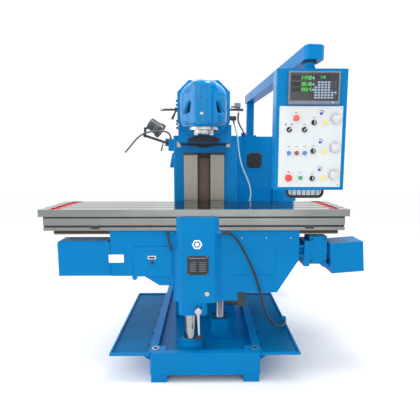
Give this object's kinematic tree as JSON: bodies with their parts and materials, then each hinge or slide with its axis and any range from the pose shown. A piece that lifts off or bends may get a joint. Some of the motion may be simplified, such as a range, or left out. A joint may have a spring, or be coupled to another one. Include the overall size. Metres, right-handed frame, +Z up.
{
  "type": "ram-type vertical milling machine",
  "caption": "Ram-type vertical milling machine with a tilting round head, a long T-slot table on a rising knee, a swinging control pendant and a rear electrical cabinet.",
  "frame": {"origin": "centre of the rectangle of four foundation bolt holes, on the floor", "axes": "+Z up, +X right along the table as the operator sees it, +Y to the rear"},
  "size_m": [2.1161, 1.873, 2.087],
  "materials": {
    "blue_paint": "glossy enamel on castings",
    "sheet_paint": "glossy enamel on sheet metal",
    "ground_steel": "ground and scraped",
    "chrome": "polished",
    "red_paint": "gloss",
    "black_plastic": "fine texture",
    "black_metal": "blacked steel",
    "panel_grey": "satin",
    "readout_grey": "semi gloss",
    "red_plastic": "gloss",
    "green_plastic": "gloss",
    "blue_plastic": "gloss",
    "amber_lens": "translucent",
    "lamp_grey": "satin",
    "hose_black": "matt",
    "hose_pale": "satin",
    "bearing_steel": "ground",
    "motor_grey": "satin"
  },
  "bodies": {
    "frame": {"base": "blue_paint", "chip_tray_left": "sheet_paint", "chip_tray_right": "sheet_paint", "support_post": "chrome", "lift_screw": "ground_steel", "column": "blue_paint", "column_ways": "ground_steel", "cabinet": "sheet_paint", "pendant_post": "sheet_paint", "coolant_pipe": "black_metal", "knee_cable": "hose_black", "head_hose": "hose_black", "lube_hose": "hose_pale"},
    "knee": {"knee_casting": "blue_paint", "knee_nose": "blue_paint", "gauge_cover": "blue_paint", "left_drive_box": "sheet_paint", "right_gearbox": "sheet_paint", "right_motor_box": "sheet_paint", "lift_motor": "motor_grey"},
    "table": {"table": "ground_steel", "end_troughs": "red_paint", "stop_dogs": "black_metal", "table_screw": "ground_steel"},
    "ram": {"ram": "blue_paint", "spindle_motor": "motor_grey"},
    "head": {"head_casting": "blue_paint", "head_cap": "chrome", "spindle_ring": "ground_steel", "spindle_bearings": "bearing_steel"},
    "spindle": {"spindle": "ground_steel"},
    "pendant_box": {"pendant_box": "sheet_paint", "control_panel": "panel_grey", "readout": "readout_grey", "pendant_handle": "black_plastic", "pilot_lamps": "amber_lens"},
    "cross_shaft": {"cross_shaft": "black_metal"},
    "post_clamp_lever": {"post_clamp_lever": "chrome"},
    "knee_lock_lever": {"knee_lock_lever": "black_metal"},
    "cabinet_door": {"cabinet_door": "sheet_paint"},
    "pendant_arm": {"pendant_arm": "sheet_paint"},
    "lamp_arm": {"lamp_arm": "black_metal"},
    "lamp_head": {"lamp_head": "lamp_grey"},
    "estop_button": {"estop_button": "red_plastic"},
    "stop_button": {"stop_button": "red_plastic"},
    "start_button": {"start_button": "green_plastic"},
    "jog_left_button": {"jog_left_button": "blue_plastic"},
    "jog_stop_button": {"jog_stop_button": "red_plastic"},
    "jog_right_button": {"jog_right_button": "blue_plastic"},
    "mode_selector": {"mode_selector": "black_plastic"},
    "coolant_selector": {"coolant_selector": "black_plastic"},
    "axis_selector_1": {"axis_selector_1": "black_plastic"},
    "rate_knob_1": {"rate_knob_1": "blue_plastic"},
    "feed_dial_1": {"feed_dial_1": "panel_grey"},
    "axis_selector_2": {"axis_selector_2": "black_plastic"},
    "rate_knob_2": {"rate_knob_2": "blue_plastic"},
    "feed_dial_2": {"feed_dial_2": "panel_grey"},
    "axis_selector_3": {"axis_selector_3": "black_plastic"},
    "rate_knob_3": {"rate_knob_3": "blue_plastic"},
    "feed_dial_3": {"feed_dial_3": "panel_grey"}
  },
  "joints": [
    {"name": "knee_lift", "type": "slide", "parent": "frame", "child": "knee", "axis": [0, 0, 1], "range_m": [-0.06, 0.26]},
    {"name": "table_feed", "type": "slide", "parent": "knee", "child": "table", "axis": [1, 0, 0], "range_m": [-0.534, 0.666]},
    {"name": "ram_feed", "type": "slide", "parent": "frame", "child": "ram", "axis": [0, 1, 0], "range_m": [-0.25, 0.2]},
    {"name": "head_tilt", "type": "hinge", "parent": "ram", "child": "head", "pos_m": [-0.008, -0.292, 1.805], "axis": [0, 1, 0], "range_deg": [-45, 45]},
    {"name": "spindle_spin", "type": "hinge", "parent": "head", "child": "spindle", "pos_m": [-0.008, -0.492, 1.62], "axis": [0, 0, 1], "continuous": true},
    {"name": "cross_shaft_turn", "type": "hinge", "parent": "ram", "child": "cross_shaft", "pos_m": [0, -0.262, 1.803], "axis": [1, 0, 0], "range_deg": [-30, 60]},
    {"name": "post_clamp_lever_turn", "type": "hinge", "parent": "knee", "child": "post_clamp_lever", "pos_m": [-0.045, -0.683, 0.479], "axis": [0, 1, 0], "range_deg": [-60, 60]},
    {"name": "knee_lock_lever_turn", "type": "hinge", "parent": "knee", "child": "knee_lock_lever", "pos_m": [-0.242, -0.622, 0.973], "axis": [0, 1, 0], "range_deg": [0, 60]},
    {"name": "cabinet_door_turn", "type": "hinge", "parent": "frame", "child": "cabinet_door", "pos_m": [0.878, 0.64, 1.061], "axis": [0, 0, 1], "range_deg": [0, 100]},
    {"name": "pendant_arm_turn", "type": "hinge", "parent": "frame", "child": "pendant_arm", "pos_m": [0.45, 0.818, 2.007], "axis": [0, 0, 1], "range_deg": [-4, 75]},
    {"name": "pendant_box_turn", "type": "hinge", "parent": "pendant_arm", "child": "pendant_box", "pos_m": [0.597, -0.765, 2.007], "axis": [0, 0, 1], "range_deg": [-45, 45]},
    {"name": "lamp_arm_turn", "type": "hinge", "parent": "frame", "child": "lamp_arm", "pos_m": [-0.302, 0.04, 1.585], "axis": [0, 0, 1], "range_deg": [-60, 0]},
    {"name": "lamp_head_tilt", "type": "hinge", "parent": "lamp_arm", "child": "lamp_head", "pos_m": [-0.474, 0.04, 1.64], "axis": [0, 1, 0], "range_deg": [-30, 0]},
    {"name": "estop_button_push", "type": "slide", "parent": "pendant_box", "child": "estop_button", "axis": [0, 1, 0], "range_m": [0, 0.005], "stiffness_N_per_m": 800},
    {"name": "stop_button_push", "type": "slide", "parent": "pendant_box", "child": "stop_button", "axis": [0, 1, 0], "range_m": [0, 0.005], "stiffness_N_per_m": 800},
    {"name": "start_button_push", "type": "slide", "parent": "pendant_box", "child": "start_button", "axis": [0, 1, 0], "range_m": [0, 0.005], "stiffness_N_per_m": 800},
    {"name": "jog_left_button_push", "type": "slide", "parent": "pendant_box", "child": "jog_left_button", "axis": [0, 1, 0], "range_m": [0, 0.005], "stiffness_N_per_m": 800},
    {"name": "jog_stop_button_push", "type": "slide", "parent": "pendant_box", "child": "jog_stop_button", "axis": [0, 1, 0], "range_m": [0, 0.005], "stiffness_N_per_m": 800},
    {"name": "jog_right_button_push", "type": "slide", "parent": "pendant_box", "child": "jog_right_button", "axis": [0, 1, 0], "range_m": [0, 0.005], "stiffness_N_per_m": 800},
    {"name": "mode_selector_turn", "type": "hinge", "parent": "pendant_box", "child": "mode_selector", "pos_m": [0.481, -0.822, 1.62], "axis": [0, 1, 0], "range_deg": [-90, 0]},
    {"name": "coolant_selector_turn", "type": "hinge", "parent": "pendant_box", "child": "coolant_selector", "pos_m": [0.569, -0.822, 1.62], "axis": [0, 1, 0], "range_deg": [-90, 0]},
    {"name": "axis_selector_1_turn", "type": "hinge", "parent": "pendant_box", "child": "axis_selector_1", "pos_m": [0.622, -0.822, 1.66], "axis": [0, 1, 0], "range_deg": [-60, 60]},
    {"name": "rate_knob_1_turn", "type": "hinge", "parent": "pendant_box", "child": "rate_knob_1", "pos_m": [0.661, -0.822, 1.71], "axis": [0, 1, 0], "range_deg": [-135, 135]},
    {"name": "feed_dial_1_turn", "type": "hinge", "parent": "pendant_box", "child": "feed_dial_1", "pos_m": [0.746, -0.822, 1.681], "axis": [0, 1, 0], "continuous": true},
    {"name": "axis_selector_2_turn", "type": "hinge", "parent": "pendant_box", "child": "axis_selector_2", "pos_m": [0.622, -0.822, 1.5], "axis": [0, 1, 0], "range_deg": [-60, 60]},
    {"name": "rate_knob_2_turn", "type": "hinge", "parent": "pendant_box", "child": "rate_knob_2", "pos_m": [0.661, -0.822, 1.55], "axis": [0, 1, 0], "range_deg": [-135, 135]},
    {"name": "feed_dial_2_turn", "type": "hinge", "parent": "pendant_box", "child": "feed_dial_2", "pos_m": [0.746, -0.822, 1.521], "axis": [0, 1, 0], "continuous": true},
    {"name": "axis_selector_3_turn", "type": "hinge", "parent": "pendant_box", "child": "axis_selector_3", "pos_m": [0.622, -0.822, 1.343], "axis": [0, 1, 0], "range_deg": [-60, 60]},
    {"name": "rate_knob_3_turn", "type": "hinge", "parent": "pendant_box", "child": "rate_knob_3", "pos_m": [0.661, -0.822, 1.393], "axis": [0, 1, 0], "range_deg": [-135, 135]},
    {"name": "feed_dial_3_turn", "type": "hinge", "parent": "pendant_box", "child": "feed_dial_3", "pos_m": [0.746, -0.822, 1.364], "axis": [0, 1, 0], "continuous": true}
  ]
}
